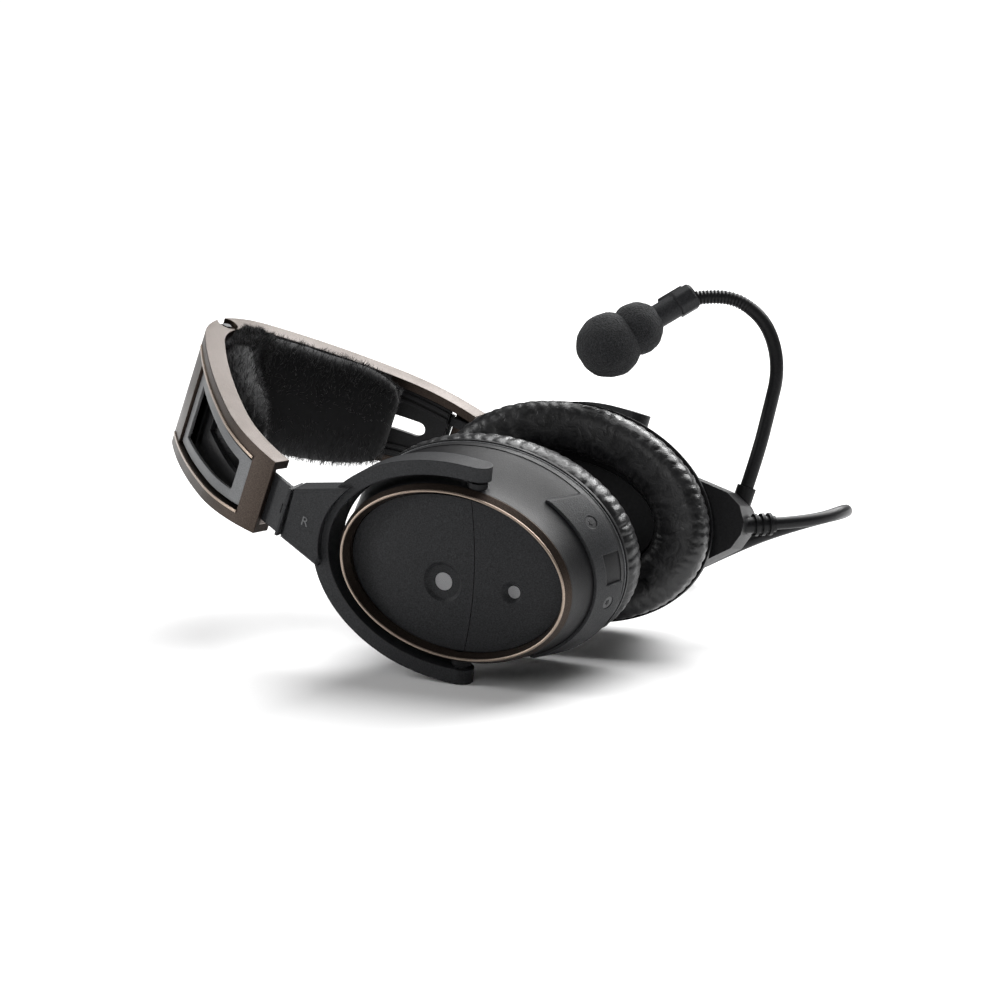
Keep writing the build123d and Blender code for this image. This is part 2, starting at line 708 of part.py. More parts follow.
CUP_PIECES = (
    ("cup_shell", cup_shell),
    ("face_cover_upper", lambda: face_cover(True)),
    ("face_cover_lower", lambda: face_cover(False)),
    ("trim_ring", trim_ring),
    ("port_meshes", port_meshes),
    ("baffle", baffle),
    ("driver", driver),
    ("circuit_board", circuit_board),
    ("cushion_ring", cushion_ring),
    ("ear_cushion", ear_cushion),
    ("ear_scrim", ear_scrim),
)
LEFT_PIECES = (
    ("module_housing", module_housing),
    ("module_screws", module_screws),
    ("strain_relief", strain_relief),
    ("boom_hub", boom_hub),
    ("boom_tube", boom_tube),
    ("mic_holder", mic_holder),
    ("mic_capsule", mic_capsule),
    ("mic_windscreen", windscreen),
)

if __name__ == "__main__":
    main()
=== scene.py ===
"""Looks for the folded aviation headset: materials, leather cushions, plush headband pad, foam
windscreen, gooseneck, coiled lead and small trim, all placed from the headset's own frames."""
import json
import math

import bmesh
import bpy
import numpy as np
from mathutils import Matrix, Vector, noise


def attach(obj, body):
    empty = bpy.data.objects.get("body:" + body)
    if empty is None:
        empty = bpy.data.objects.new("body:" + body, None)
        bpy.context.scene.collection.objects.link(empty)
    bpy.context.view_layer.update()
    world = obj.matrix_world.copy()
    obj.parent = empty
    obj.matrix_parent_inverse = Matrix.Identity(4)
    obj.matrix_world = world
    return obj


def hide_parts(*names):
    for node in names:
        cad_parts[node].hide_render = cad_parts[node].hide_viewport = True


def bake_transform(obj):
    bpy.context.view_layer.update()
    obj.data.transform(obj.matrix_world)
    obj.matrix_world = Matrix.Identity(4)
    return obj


MM = 0.001
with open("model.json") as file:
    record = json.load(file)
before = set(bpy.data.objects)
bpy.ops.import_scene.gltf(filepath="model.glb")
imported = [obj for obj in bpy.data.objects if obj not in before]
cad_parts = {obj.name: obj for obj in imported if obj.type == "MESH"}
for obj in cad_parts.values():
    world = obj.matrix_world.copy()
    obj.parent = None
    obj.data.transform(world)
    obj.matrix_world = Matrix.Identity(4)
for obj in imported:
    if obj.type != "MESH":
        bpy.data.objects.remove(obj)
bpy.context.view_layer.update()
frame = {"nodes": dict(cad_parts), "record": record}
NODES = frame["nodes"]

# ---- the headset's frames, as in the model (mm and degrees)
BAND_ORIGIN = (-102.24, 17.33, 82.214)
BAND_TURN = (-28.46, -67.55, -118.09)
BAND_ARCS = ((30.0, 3.0, 42.0), (220.0, 42.0, 56.0), (64.0, 56.0, 86.0))
END_HEADING = 86.0
CROWN_HALF_WIDTH = 22.3
WIDTH_SLOPE = (22.3 - 13.5) / 79.5
RAIL_WIDTH = 4.8
WINDOW = (45.0, 77.0)
LIP_HEADINGS = (WINDOW[0] - 4, WINDOW[1])
SEAM_DEPTH = 3.2
LINK_BEND = 8.0
YOKE_DROP = (2.2, 5.9, -62.6)
YOKE_TURN = 12.0
PIVOT = (-6.5, 0.0, -4.0)
REST = {"r": (10.0, -3.8, 3.5), "l": (2.2, 13.3, 17.9)}
CUSHION_OUT = (36.8, 50.6)
CUSHION_IN = (19.4, 31.6)
CUSHION_X = (-48.3, -34.3)
PAD_DEPTH = 14.3
PAD_START = 4.0
PAD_SWEEP = 52.5
PAD_OVERHANG = 1.6
PAD_HALF_THICK = 6.0
PILE_COUNT = 42000
PILE_SEED = 7
# Oval of the thin silver bead along the flange, which is a painted highlight.
FLANGE = (-32.4, 36.6, 49.3)
# Oval of the bead on the trim ring's crest, which is a painted highlight.
CREST = (-0.3, 28.65, 40.35)
BOOM_R = 2.5
BOOM = (
    (-9.0, 25.0, -49.8),
    (-9.0, 38.0, -50.19),
    (-8.6, 52.0, -49.4),
    (-9.0, 67.6, -48.6),
    (-11.0, 80.6, -41.5),
    (-14.0, 86.4, -31.0),
    (-18.0, 85.8, -21.5),
    (-22.5, 81.4, -13.0),
)
MIC_TIP = (-35.0, 60.0, 4.0)

# ---- the lead, in the row frame
CORD_R = 2.2
CORD_START = (108.24, 37.39, 41.594)
CORD_ROUTE = (
    (125.6, 65.1, 42.4),
    (119.1, 83.0, 37.0),
    (103.0, 93.1, 30.4),
    (85.0, 94.3, 23.3),
    (69.3, 96.0, 15.1),
    (56.3, 101.5, 7.6),
    (46.2, 115.5, 2.2),
)
COIL_CENTRE = (19.3, 108.0)
COIL_TURNS = (
    (27.0, 0),
    (22.4, 0),
    (17.8, 0),
    (17.8, 1),
    (17.8, 2),
    (22.4, 2),
    (27.0, 2),
    (22.4, 1),
    (27.0, 1),
)
COIL_PITCH = 4.6
COIL_ENTRY = 37.0
PLUG_Z = 6.4

# ---- camera: place and right, up and back directions
CAMERA_AT = (538.89, -1235.18, 349.51)
CAMERA_AXES = ((0.9221, 0.3869, 0.0), (-0.0844, 0.2012, 0.9759), (0.3776, -0.8999, 0.2181))
CAMERA_LENS = 142.8


# ================================================================ frames
def turn(x, y, z):
    spins = [Matrix.Rotation(math.radians(a), 4, axis) for a, axis in ((x, "X"), (y, "Y"), (z, "Z"))]
    return spins[0] @ spins[1] @ spins[2]


def shift(p):
    return Matrix.Translation(Vector(p))


def band_point(depth, heading):
    x = z = 0.0
    for radius, first, last in BAND_ARCS:
        a, b = math.radians(first), math.radians(min(max(heading, first), last))
        x += radius * (math.sin(b) - math.sin(a))
        z -= radius * (math.cos(a) - math.cos(b))
    h = math.radians(heading)
    return Vector((x - depth * math.sin(h), 0, z - depth * math.cos(h)))


def half_width(z):
    return CROWN_HALF_WIDTH + WIDTH_SLOPE * z


def band_frame(side):
    flip = Matrix.Diagonal((-1.0 if side == "l" else 1.0, 1.0, 1.0, 1.0))
    return shift(BAND_ORIGIN) @ turn(*BAND_TURN) @ flip


def yoke_frame(side):
    ext, swivel, _ = REST[side]
    h = math.radians(END_HEADING)
    seam = band_point(SEAM_DEPTH, END_HEADING) + Vector((math.cos(h), 0, -math.sin(h))) * ext
    swivel = swivel if side == "r" else -swivel
    return band_frame(side) @ shift(seam) @ turn(0, LINK_BEND, 0) @ turn(0, 0, swivel) @ shift(YOKE_DROP)


def cup_frame(side):
    tilt = REST[side][2] if side == "r" else -REST[side][2]
    pivot = shift(PIVOT)
    return yoke_frame(side) @ turn(YOKE_TURN, 0, 0) @ pivot @ turn(0, tilt, 0) @ pivot.inverted()


# ================================================================ mesh helpers
def piece(name, vertices, faces, matrix, material, body, smooth=True):
    """A mesh in one of the headset's frames, in mm, made into an object in the row frame."""
    data = bpy.data.meshes.new(name)
    data.from_pydata([(matrix @ Vector(v)) * MM for v in vertices], [], faces)
    edit = bmesh.new()
    edit.from_mesh(data)
    bmesh.ops.recalc_face_normals(edit, faces=edit.faces)
    edit.to_mesh(data)
    edit.free()
    data.polygons.foreach_set("use_smooth", [smooth] * len(data.polygons))
    made = bpy.data.objects.new(name, data)
    bpy.context.collection.objects.link(made)
    data.materials.append(material)
    if body:
        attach(made, body)
    return made


def shaped(name, shape, matrix, material, body, smooth=True):
    """Hands a finished bmesh over as a piece."""
    shape.verts.index_update()
    vertices = [v.co.copy() for v in shape.verts]
    faces = [[v.index for v in f.verts] for f in shape.faces]
    shape.free()
    return piece(name, vertices, faces, matrix, material, body, smooth)


def prism(sides, radius, height, lobes=0, swell=0.0):
    """A prism about the z axis; lobes and swell make its outline a star."""
    shape = bmesh.new()
    bmesh.ops.create_circle(shape, cap_ends=True, segments=sides, radius=radius)
    for vertex in shape.verts:
        around = math.atan2(vertex.co.y, vertex.co.x)
        vertex.co *= 1 + swell * math.cos(lobes * around)
    top = bmesh.ops.extrude_face_region(shape, geom=shape.faces[:])
    risen = [g for g in top["geom"] if isinstance(g, bmesh.types.BMVert)]
    bmesh.ops.translate(shape, verts=risen, vec=(0, 0, height))
    return shape


def soften(shape, offset, steps):
    """Rounds every edge."""
    edges = shape.edges[:]
    bmesh.ops.bevel(
        shape, geom=edges, offset=offset, segments=steps, profile=0.5, affect="EDGES", material=-1
    )


def facing(way, at):
    """A place whose z axis looks along a direction."""
    return shift(at) @ way.to_track_quat("Z", "Y").to_matrix().to_4x4()


def grid_faces(rows, columns, close_rows, close_columns):
    faces = []
    for i in range(rows if close_rows else rows - 1):
        for j in range(columns if close_columns else columns - 1):
            a, b = i, (i + 1) % rows
            c, d = j, (j + 1) % columns
            faces.append((a * columns + c, a * columns + d, b * columns + d, b * columns + c))
    return faces


def capped_tube(name, rings, matrix, material, body, smooth=True):
    """A tube through rings of points, closed at both ends."""
    count = len(rings[0])
    vertices = [p for ring in rings for p in ring]
    faces = grid_faces(len(rings), count, False, True)
    faces.append(tuple(range(count)))
    faces.append(tuple(range(len(vertices) - 1, len(vertices) - 1 - count, -1)))
    return piece(name, vertices, faces, matrix, material, body, smooth)


def ring_round(points, x_axis, y_axis, centre, radius):
    turns = (2 * math.pi * k / points for k in range(points))
    return [centre + (x_axis * math.cos(a) + y_axis * math.sin(a)) * radius for a in turns]


def power(value, exponent):
    return math.copysign(abs(value) ** exponent, value)


def join(objects):
    """Joins small meshes into the first one."""
    for made in bpy.context.selected_objects:
        made.select_set(False)
    for made in objects:
        made.select_set(True)
    bpy.context.view_layer.objects.active = objects[0]
    bpy.ops.object.join()
    return objects[0]


# ================================================================ materials
def new_group(name, outputs, inputs):
    group = bpy.data.node_groups.new(name, "ShaderNodeTree")
    for label, kind in inputs:
        group.interface.new_socket(label, in_out="INPUT", socket_type=kind)
    for label, kind in outputs:
        group.interface.new_socket(label, in_out="OUTPUT", socket_type=kind)
    return group


def grain_group():
    """Fine moulded grain and a slow smear of handling, as masks, with softened edges in the normal."""
    outputs = [("Normal", "NodeSocketVector"), ("Grain", "NodeSocketFloat"), ("Smear", "NodeSocketFloat")]
    inputs = [(label, "NodeSocketFloat") for label in ("Scale", "Depth", "Edge")]
    group = new_group("moulded_grain", outputs, inputs)
    nodes, links = group.nodes, group.links
    given, out = nodes.new("NodeGroupInput"), nodes.new("NodeGroupOutput")
    coords = nodes.new("ShaderNodeTexCoord")
    fine, slow = nodes.new("ShaderNodeTexNoise"), nodes.new("ShaderNodeTexNoise")
    bump, bevel = nodes.new("ShaderNodeBump"), nodes.new("ShaderNodeBevel")
    fine.inputs["Detail"].default_value = 3.0
    slow.inputs["Scale"].default_value = 45.0
    slow.inputs["Detail"].default_value = 4.0
    bump.inputs["Distance"].default_value = 0.0002
    bevel.samples = 6
    links.new(coords.outputs["Object"], fine.inputs["Vector"])
    links.new(coords.outputs["Object"], slow.inputs["Vector"])
    links.new(given.outputs["Scale"], fine.inputs["Scale"])
    links.new(given.outputs["Depth"], bump.inputs["Strength"])
    links.new(given.outputs["Edge"], bevel.inputs["Radius"])
    links.new(fine.outputs["Fac"], bump.inputs["Height"])
    links.new(bevel.outputs["Normal"], bump.inputs["Normal"])
    links.new(bump.outputs["Normal"], out.inputs["Normal"])
    links.new(fine.outputs["Fac"], out.inputs["Grain"])
    links.new(slow.outputs["Fac"], out.inputs["Smear"])
    return group


GRAIN = grain_group()


def shader(name):
    made = bpy.data.materials.new(name)
    made.use_nodes = True
    return made, made.node_tree.nodes, made.node_tree.links, made.node_tree.nodes["Principled BSDF"]


def spread(nodes, links, source, low, high, target):
    """Maps a mask to a range of values on a shader's socket."""
    fit = nodes.new("ShaderNodeMapRange")
    fit.inputs["From Min"].default_value = 0.3
    fit.inputs["From Max"].default_value = 0.7
    fit.inputs["To Min"].default_value = low
    fit.inputs["To Max"].default_value = high
    links.new(source, fit.inputs["Value"])
    links.new(fit.outputs["Result"], target)


def tint(nodes, links, source, dark, light, target):
    ramp = nodes.new("ShaderNodeValToRGB")
    ramp.color_ramp.elements[0].position = 0.32
    ramp.color_ramp.elements[0].color = (*dark, 1)
    ramp.color_ramp.elements[1].position = 0.68
    ramp.color_ramp.elements[1].color = (*light, 1)
    links.new(source, ramp.inputs["Fac"])
    links.new(ramp.outputs["Color"], target)


def moulded(name, dark, light, rough, scale, depth, edge=0.0004, metal=0.0):
    """Moulded plastic, paint or metal: speckled colour, uneven roughness, fine grain, soft edges.

    After the two colours come the roughness, the grain's scale and depth, the width of a softened
    edge in metres and how metallic it is."""
    made, nodes, links, base = shader(name)
    grain = nodes.new("ShaderNodeGroup")
    grain.node_tree = GRAIN
    grain.inputs["Scale"].default_value = scale
    grain.inputs["Depth"].default_value = depth
    grain.inputs["Edge"].default_value = edge
    tint(nodes, links, grain.outputs["Grain"], dark, light, base.inputs["Base Color"])
    spread(nodes, links, grain.outputs["Smear"], rough - 0.05, rough + 0.06, base.inputs["Roughness"])
    links.new(grain.outputs["Normal"], base.inputs["Normal"])
    base.inputs["Metallic"].default_value = metal
    base.inputs["Specular IOR Level"].default_value = 0.19
    return made


def leather():
    """Black leatherette: small pebbled cells, fine creases and a soft shine."""
    made, nodes, links, base = shader("cushion_leather")
    coords = nodes.new("ShaderNodeTexCoord")
    cells, creases = nodes.new("ShaderNodeTexVoronoi"), nodes.new("ShaderNodeTexNoise")
    cells.feature = "DISTANCE_TO_EDGE"
    cells.inputs["Scale"].default_value = 1500.0
    creases.inputs["Scale"].default_value = 260.0
    creases.inputs["Detail"].default_value = 6.0
    creases.inputs["Distortion"].default_value = 1.2
    for texture in (cells, creases):
        links.new(coords.outputs["Object"], texture.inputs["Vector"])
    fine, wide = nodes.new("ShaderNodeBump"), nodes.new("ShaderNodeBump")
    fine.inputs["Strength"].default_value = 0.35
    fine.inputs["Distance"].default_value = 0.00015
    wide.inputs["Strength"].default_value = 0.5
    wide.inputs["Distance"].default_value = 0.0006
    links.new(creases.outputs["Fac"], wide.inputs["Height"])
    links.new(cells.outputs["Distance"], fine.inputs["Height"])
    links.new(wide.outputs["Normal"], fine.inputs["Normal"])
    links.new(fine.outputs["Normal"], base.inputs["Normal"])
    dark, light = (0.0025, 0.0025, 0.003), (0.0075, 0.0075, 0.0085)
    tint(nodes, links, creases.outputs["Fac"], dark, light, base.inputs["Base Color"])
    spread(nodes, links, creases.outputs["Fac"], 0.3, 0.46, base.inputs["Roughness"])
    return made


def fibre(name, dark, light, sheen):
    """Pile, knit or foam: colour from noise, no shine, a little sheen at grazing angles."""
    made, nodes, links, base = shader(name)
    coords, speckle = nodes.new("ShaderNodeTexCoord"), nodes.new("ShaderNodeTexNoise")
    speckle.inputs["Scale"].default_value = 900.0
    speckle.inputs["Detail"].default_value = 5.0
    links.new(coords.outputs["Object"], speckle.inputs["Vector"])
    tint(nodes, links, speckle.outputs["Fac"], dark, light, base.inputs["Base Color"])
    spread(nodes, links, speckle.outputs["Fac"], 0.75, 0.95, base.inputs["Roughness"])
    base.inputs["Sheen Weight"].default_value = sheen
    base.inputs["Sheen Roughness"].default_value = 0.5
    base.inputs["Specular IOR Level"].default_value = 0.2
    return made


def foam():
    """Open-cell foam: lighter cell walls, with painted shade darkening the pores between them."""
    made, nodes, links, base = shader("windscreen_foam")
    coords, pores = nodes.new("ShaderNodeTexCoord"), nodes.new("ShaderNodeTexVoronoi")
    pores.inputs["Scale"].default_value = 2300.0
    bump = nodes.new("ShaderNodeBump")
    bump.inputs["Strength"].default_value = 0.9
    bump.inputs["Distance"].default_value = 0.0004
    links.new(coords.outputs["Object"], pores.inputs["Vector"])
    links.new(pores.outputs["Distance"], bump.inputs["Height"])
    links.new(bump.outputs["Normal"], base.inputs["Normal"])
    # Dark end: painted shade in the pores; light end: the cell walls.
    dark, light = (0.0018, 0.002, 0.0024), (0.02, 0.021, 0.0235)
    tint(nodes, links, pores.outputs["Distance"], dark, light, base.inputs["Base Color"])
    base.inputs["Roughness"].default_value = 0.95
    base.inputs["Sheen Weight"].default_value = 0.05
    return made


def mesh_cloth():
    """Woven steel cloth over the ports: two crossed waves, bright wires over holes darkened with painted
    shade.
    """
    made, nodes, links, base = shader("woven_steel")
    coords = nodes.new("ShaderNodeTexCoord")
    waves = []
    for axis in ("X", "Z"):
        wave = nodes.new("ShaderNodeTexWave")
        wave.bands_direction = axis
        wave.inputs["Scale"].default_value = 900.0
        links.new(coords.outputs["Object"], wave.inputs["Vector"])
        waves.append(wave)
    both, bump = nodes.new("ShaderNodeMath"), nodes.new("ShaderNodeBump")
    both.operation = "MAXIMUM"
    bump.inputs["Distance"].default_value = 0.0003
    for wave, socket in zip(waves, both.inputs):
        links.new(wave.outputs["Fac"], socket)
    links.new(both.outputs["Value"], bump.inputs["Height"])
    links.new(bump.outputs["Normal"], base.inputs["Normal"])
    # Dark end: painted shade in the holes; light end: the steel wires.
    dark, light = (0.12, 0.12, 0.125), (0.5, 0.5, 0.51)
    tint(nodes, links, both.outputs["Value"], dark, light, base.inputs["Base Color"])
    base.inputs["Metallic"].default_value = 0.6
    base.inputs["Roughness"].default_value = 0.45
    return made


def circuit():
    """Green solder mask with lighter tracks."""
    made, nodes, links, base = shader("circuit_mask")
    coords, tracks = nodes.new("ShaderNodeTexCoord"), nodes.new("ShaderNodeTexBrick")
    tracks.inputs["Scale"].default_value = 240.0
    tracks.inputs["Color1"].default_value = (0.01, 0.08, 0.03, 1)
    tracks.inputs["Color2"].default_value = (0.012, 0.1, 0.04, 1)
    tracks.inputs["Mortar"].default_value = (0.04, 0.2, 0.08, 1)
    links.new(coords.outputs["Object"], tracks.inputs["Vector"])
    links.new(tracks.outputs["Color"], base.inputs["Base Color"])
    base.inputs["Roughness"].default_value = 0.35
    return made


BRONZE = moulded(
    "bronze_lacquer",
    (0.024, 0.0178, 0.0143),
    (0.057, 0.0432, 0.0352),
    0.38, 3400, 0.2, 0.00045, 0.8,
)
SILVER = moulded(
    "silver_lacquer",
    (0.085, 0.087, 0.09),
    (0.14, 0.142, 0.145),
    0.38, 3000, 0.12, 0.0003, 0.4,
)
# A far lighter copy of the bronze lacquer: painted highlight, used for the trim lip bead and the window
# lips.
BRONZE_HIGHLIGHT = moulded(
    "bronze_painted_highlight",
    (0.24, 0.19, 0.155),
    (0.36, 0.29, 0.235),
    0.3, 3000, 0.08, 0.0002, 0.85,
)
BLACK = moulded(
    "black_moulding",
    (0.0038, 0.0038, 0.0044),
    (0.0095, 0.0095, 0.0105),
    0.44, 2400, 0.3,
)
FINE = moulded(
    "fine_grain_moulding",
    (0.0055, 0.0058, 0.0066),
    (0.02, 0.0206, 0.0225),
    0.52, 2300, 0.75, 0.0003,
)
GREY = moulded(
    "grey_moulding",
    (0.0095, 0.01, 0.011),
    (0.026, 0.0267, 0.0288),
    0.46, 2500, 0.6, 0.0006,
)
STEEL = moulded(
    "blackened_steel",
    (0.05, 0.05, 0.052),
    (0.11, 0.11, 0.112),
    0.32, 5200, 0.12, 0.0001, 0.9,
)
PLATED = moulded(
    "driver_plating",
    (0.25, 0.25, 0.26),
    (0.33, 0.33, 0.34),
    0.3, 4000, 0.1, 0.0002, 0.9,
)
NICKEL = moulded(
    "nickel_plating",
    (0.48, 0.48, 0.47),
    (0.58, 0.58, 0.57),
    0.22, 5000, 0.06, 0.0002, 1.0,
)
RUBBER = moulded(
    "rubber_jacket",
    (0.004, 0.004, 0.0046),
    (0.0095, 0.0095, 0.0105),
    0.4, 1800, 0.25, 0.0002,
)
LEATHER = leather()
PLUSH = fibre("plush_backing", (0.003, 0.003, 0.0035), (0.008, 0.008, 0.009), 0.2)
PILE = fibre("plush_pile", (0.0035, 0.0035, 0.004), (0.022, 0.022, 0.024), 0.35)
SCRIM = fibre("knit_scrim", (0.004, 0.004, 0.0045), (0.014, 0.014, 0.015), 0.15)
FOAM = foam()
WOVEN = mesh_cloth()
SLOTS = {
    "bronze_paint": BRONZE, "silver_paint": SILVER, "black_plastic": BLACK, "fine_grain_plastic": FINE,
    "grey_plastic": GREY, "dark_steel": STEEL, "steel_mesh": WOVEN, "driver_steel": PLATED,
    "board_green": circuit(), "black_leather": LEATHER, "black_fabric": SCRIM, "black_plush": PLUSH,
    "grey_foam": FOAM, "black_rubber": RUBBER, "nickel_plate": NICKEL,
}


def dress_frame():
    for part in frame["record"]["subparts"]:
        made = NODES[part["node"]]
        made.data.materials.clear()
        made.data.materials.append(SLOTS[part["material_slot"]])


# ================================================================ camera and lead
def add_camera():
    made = bpy.data.objects.new("camera", bpy.data.cameras.new("camera"))
    bpy.context.collection.objects.link(made)
    axes = Matrix([Vector(a).normalized() for a in CAMERA_AXES]).transposed()
    made.matrix_world = shift(Vector(CAMERA_AT) * MM) @ axes.to_4x4()
    made.data.lens = CAMERA_LENS
    made.data.clip_end = 60.0
    bpy.context.scene.camera = made


def first_point():
    way = (cup_frame("l").to_3x3() @ Vector((0.53, 0.318, -0.786))).normalized()
    return Vector(CORD_START) + way * 14.5


def coil_points():
    steps = 12
    total = steps * len(COIL_TURNS) + 2
    points = []
    for step in range(1, total):
        place = step / steps
        index = min(int(place), len(COIL_TURNS) - 1)
        after = min(index + 1, len(COIL_TURNS) - 1)
        share = min(max((place - index - 0.6) / 0.4, 0.0), 1.0) if index < len(COIL_TURNS) - 1 else 0.0
        radius = COIL_TURNS[index][0] * (1 - share) + COIL_TURNS[after][0] * share
        layer = COIL_TURNS[index][1] * (1 - share) + COIL_TURNS[after][1] * share
        angle = math.radians(COIL_ENTRY + step * 360 / steps)
        radius *= 1.015 - 0.02 * math.sin(2.7 * place)
        x, y = COIL_CENTRE
        height = CORD_R + COIL_PITCH * layer
        points.append((x + radius * math.cos(angle), y + radius * math.sin(angle), height))
    return points


def add_lead():
    end_x = COIL_CENTRE[0] - 12.0
    top_y = COIL_CENTRE[1] + COIL_TURNS[0][0]
    finish = [(COIL_CENTRE[0] + 2, top_y, PLUG_Z), (end_x + 2, top_y, PLUG_Z), (end_x - 2, top_y, PLUG_Z)]
    points = [CORD_START, tuple(first_point()), *CORD_ROUTE, *coil_points(), *finish]
    curve = bpy.data.curves.new("lead", "CURVE")
    curve.dimensions = "3D"
    curve.bevel_depth = CORD_R * MM
    curve.bevel_resolution = 6
    curve.use_fill_caps = True
    spline = curve.splines.new("NURBS")
    spline.points.add(len(points) - 1)
    for spot, place in zip(spline.points, points):
        spot.co = (*(c * MM for c in place), 1.0)
    spline.order_u = 3
    spline.use_endpoint_u = True
    spline.resolution_u = 6
    made = bpy.data.objects.new("lead", curve)
    bpy.context.collection.objects.link(made)
    curve.materials.append(RUBBER)
    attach(made, "cup_l")
    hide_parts("cord_lead", "cord_coil")


# ================================================================ ear cushions
def cushion_point(around, section):
    """A point of the cushion's skin; section turns from the outer rim over the face to the hole."""
    cos_a, sin_a = math.cos(around), math.sin(around)
    c, s = math.cos(section), math.sin(section)
    out = 0.5 + 0.5 * power(c, 0.72)
    x = (CUSHION_X[0] + CUSHION_X[1]) / 2 - (CUSHION_X[1] - CUSHION_X[0]) / 2 * power(s, 0.8)
    place = Vector((cos_a * 2.6, sin_a * 2.6, section * 1.7))
    gathers = abs(math.sin(34 * around + 1.3 * noise.noise(place * 2.2))) ** 0.55
    rim = max(0.0, c) ** 1.2
    hole = max(0.0, -c) ** 1.5
    puff = noise.noise(place * 1.6) * 0.55 + noise.noise(place * 4.1) * 0.25
    folds = abs(noise.noise(Vector((around * 5.5, section * 0.8, 3.0)))) * 1.6
    push = -0.95 * (1 - gathers) * rim * (0.55 + 0.45 * max(0.0, -s)) - 0.7 * (1 - gathers) * hole * 0.5
    push += puff * 0.42 - folds * 0.3 * (1 - rim)
    y = cos_a * (CUSHION_IN[0] + (CUSHION_OUT[0] - CUSHION_IN[0]) * out)
    z = sin_a * (CUSHION_IN[1] + (CUSHION_OUT[1] - CUSHION_IN[1]) * out)
    normal = Vector((0, cos_a * c, sin_a * c))
    return Vector((x - push * s * 0.9, y, z)) + normal * push


def add_cushion(side):
    rows, columns = 420, 44
    vertices = []
    for i in range(rows):
        for j in range(columns):
            vertices.append(cushion_point(2 * math.pi * i / rows, 2 * math.pi * j / columns))
    faces = grid_faces(rows, columns, True, True)
    made = piece(f"leather_cushion_{side}", vertices, faces, cup_frame(side), LEATHER, f"cup_{side}")
    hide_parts(f"ear_cushion_{side}")


def oval_bead(name, side, x, half_y, half_z, radius, material):
    """A thin bead that follows an oval of the cup."""
    rings = []
    count = 160
    for i in range(count):
        a = 2 * math.pi * i / count
        out = Vector((0, math.cos(a) * half_z, math.sin(a) * half_y)).normalized()
        centre = Vector((x, math.cos(a) * half_y, math.sin(a) * half_z))
        rings.append(ring_round(8, out, Vector((1, 0, 0)), centre, radius))
    vertices = [p for ring in rings for p in ring]
    faces = grid_faces(count, 8, True, True)
    return piece(name, vertices, faces, cup_frame(side), material, f"cup_{side}")


# ================================================================ headband pad
def pad_centre(along):
    """Centre line of the pad: along runs from -1, the left end, to 1, the right end."""
    point = band_point(PAD_DEPTH, PAD_START + PAD_SWEEP * abs(along))
    point.x = max(point.x, 0.0) * (1 if along >= 0 else -1)
    return point


def pad_skin(along, section):
    centre = pad_centre(along)
    heading = math.radians(PAD_START + PAD_SWEEP * abs(along))
    down = Vector((-math.sin(heading) * (1 if along >= 0 else -1), 0, -math.cos(heading)))
    if abs(along) < 0.08:
        down = Vector((0, 0, -1)).lerp(down, abs(along) / 0.08)
    end = math.sqrt(max(0.0, 1 - max(0.0, (abs(along) - 0.86) / 0.14) ** 2))
    wave = 0.7 * noise.noise(Vector((along * 9, 4.0, math.copysign(3.0, math.cos(section)))))
    wide = (half_width(centre.z) + PAD_OVERHANG + wave) * (0.55 + 0.45 * end)
    thick = PAD_HALF_THICK * (0.15 + 0.85 * end)
    c, s = power(math.cos(section), 0.55), power(math.sin(section), 0.7)
    lump = 1 + 0.10 * noise.noise(Vector((along * 5, math.cos(section) * 1.5, math.sin(section))))
    return centre + Vector((0, c * wide * lump, 0)) + down * (s * thick * lump)


def add_pad():
    rows, columns = 90, 40
    alongs = [-1 + 2 * i / (rows - 1) for i in range(rows)]
    rings = [[pad_skin(a, 2 * math.pi * j / columns) for j in range(columns)] for a in alongs]
    skin = capped_tube("plush_pad", rings, band_frame("r"), PLUSH, None)
    pile = add_pile()
    for made in (skin, pile):
        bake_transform(made)
    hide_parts("headband_pad")


def add_pile():
    """Short bent fibres standing on the pad's skin, in tufts."""
    random = np.random.default_rng(PILE_SEED)
    noise.seed_set(PILE_SEED)
    vertices, faces = [], []
    for _ in range(PILE_COUNT):
        along, section = random.uniform(-1, 1), random.uniform(0, 2 * math.pi)
        root = pad_skin(along, section)
        out = (root - pad_centre(along)).normalized()
        tuft = noise.noise_vector(root * 0.35)
        lean = (out + tuft * 0.9 + Vector(random.normal(0, 0.28, 3))).normalized()
        tall = random.uniform(1.6, 3.4)
        side = lean.cross(Vector(random.normal(0, 1, 3))).normalized() * 0.075
        middle = root + lean * tall * 0.55
        tip = middle + (lean + tuft * 0.8 + Vector(random.normal(0, 0.3, 3))).normalized() * tall * 0.45
        first = len(vertices)
        vertices += [root - side, root + side, middle + side * 0.7, middle - side * 0.7, tip]
        faces += [(first, first + 1, first + 2, first + 3), (first + 3, first + 2, first + 4)]
    return piece("plush_pile", vertices, faces, band_frame("r"), PILE, None, smooth=False)


# ================================================================ gooseneck and windscreen
def smooth_line(points, step):
    """Evenly spaced points along a smooth curve that has these as its control points."""
    curve = bpy.data.curves.new("guide", "CURVE")
    curve.dimensions = "3D"
    spline = curve.splines.new("NURBS")
    spline.points.add(len(points) - 1)
    for spot, place in zip(spline.points, points):
        spot.co = (*place, 1.0)
    spline.order_u = 3
    spline.use_endpoint_u = True
    spline.resolution_u = 24
    guide = bpy.data.objects.new("guide", curve)
    line = np.array([v.co[:] for v in bpy.data.meshes.new_from_object(guide).vertices])
    bpy.data.objects.remove(guide)
    travel = np.concatenate(([0], np.cumsum(np.linalg.norm(np.diff(line, axis=0), axis=1))))
    places = np.arange(0, travel[-1], step)
    spread_out = [np.interp(places, travel, line[:, k]) for k in range(3)]
    return [Vector(p) for p in zip(*spread_out)], travel[-1]


